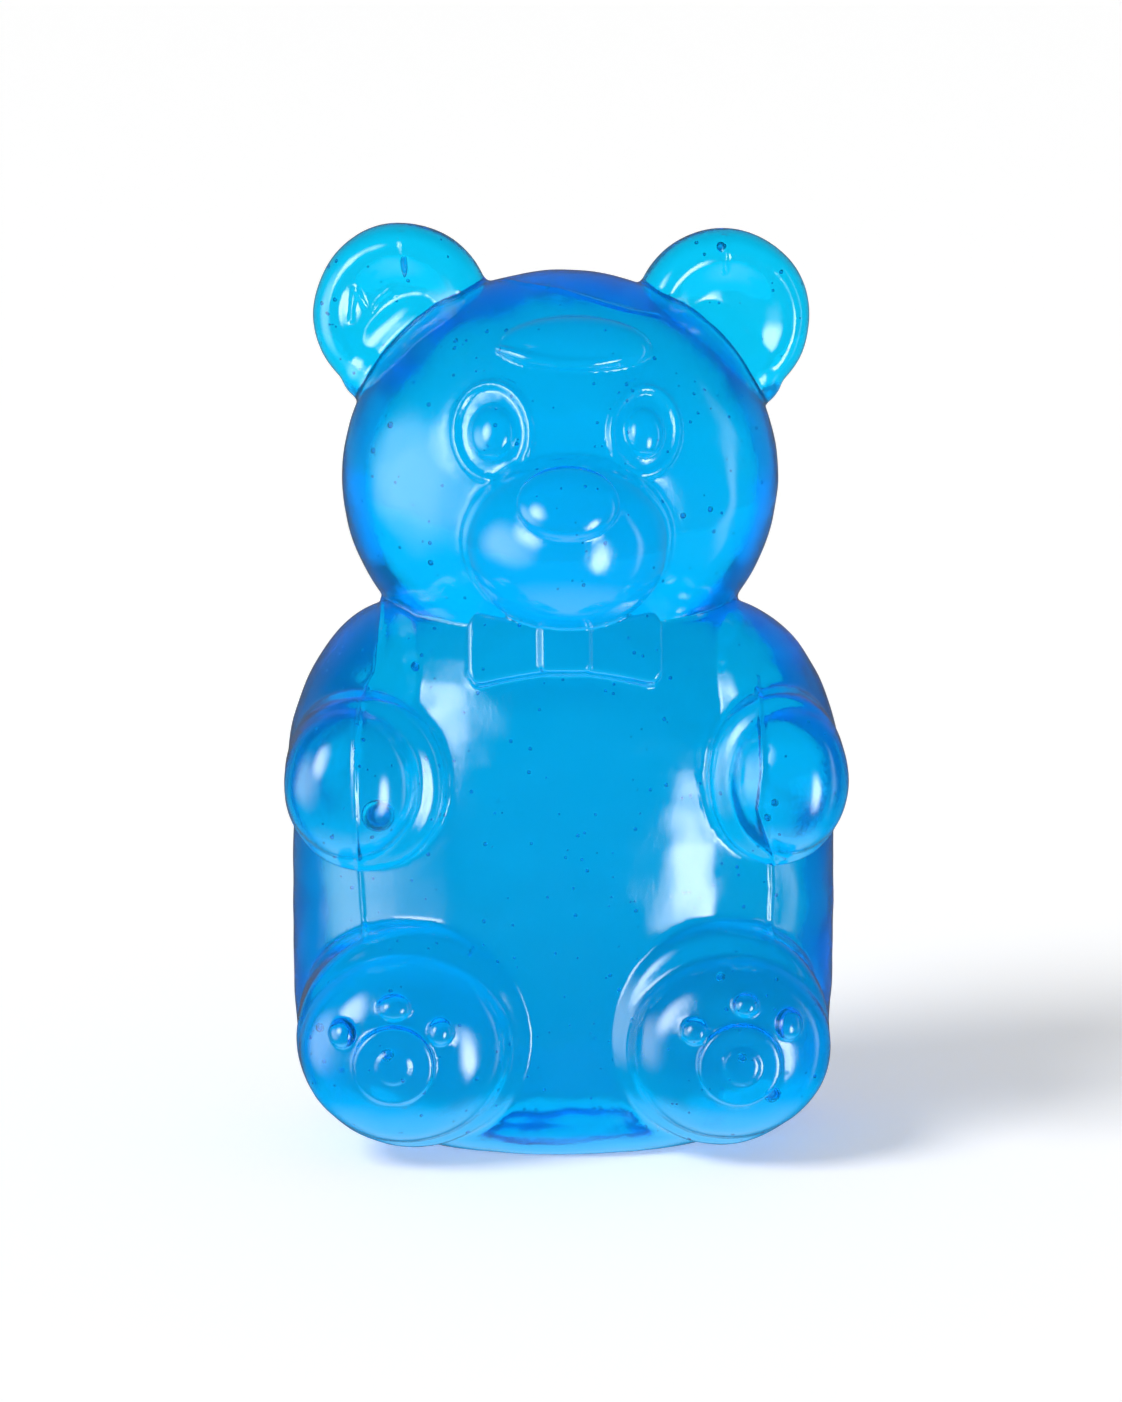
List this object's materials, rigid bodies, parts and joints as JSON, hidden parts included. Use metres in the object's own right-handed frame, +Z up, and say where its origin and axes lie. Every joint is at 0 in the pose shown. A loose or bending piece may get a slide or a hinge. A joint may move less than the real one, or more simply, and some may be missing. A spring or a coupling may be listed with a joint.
{
  "type": "gummy bear",
  "caption": "Large moulded jelly bear that sits upright, with round ears, a muzzle, a bow tie, short arms and soles with paw pads.",
  "frame": {"origin": "middle of the underside of the box round the bear, on the ground plane, within the flat base", "axes": "+Z up to the ears, -Y towards the face and the soles, +X towards the right of a viewer who faces the bear"},
  "size_m": [0.1434, 0.1006, 0.2347],
  "materials": {
    "jelly": "clear blue gelatine jelly with a glossy, slightly sticky skin"
  },
  "bodies": {
    "root": {"gummy_bear": "jelly"}
  },
  "joints": []
}
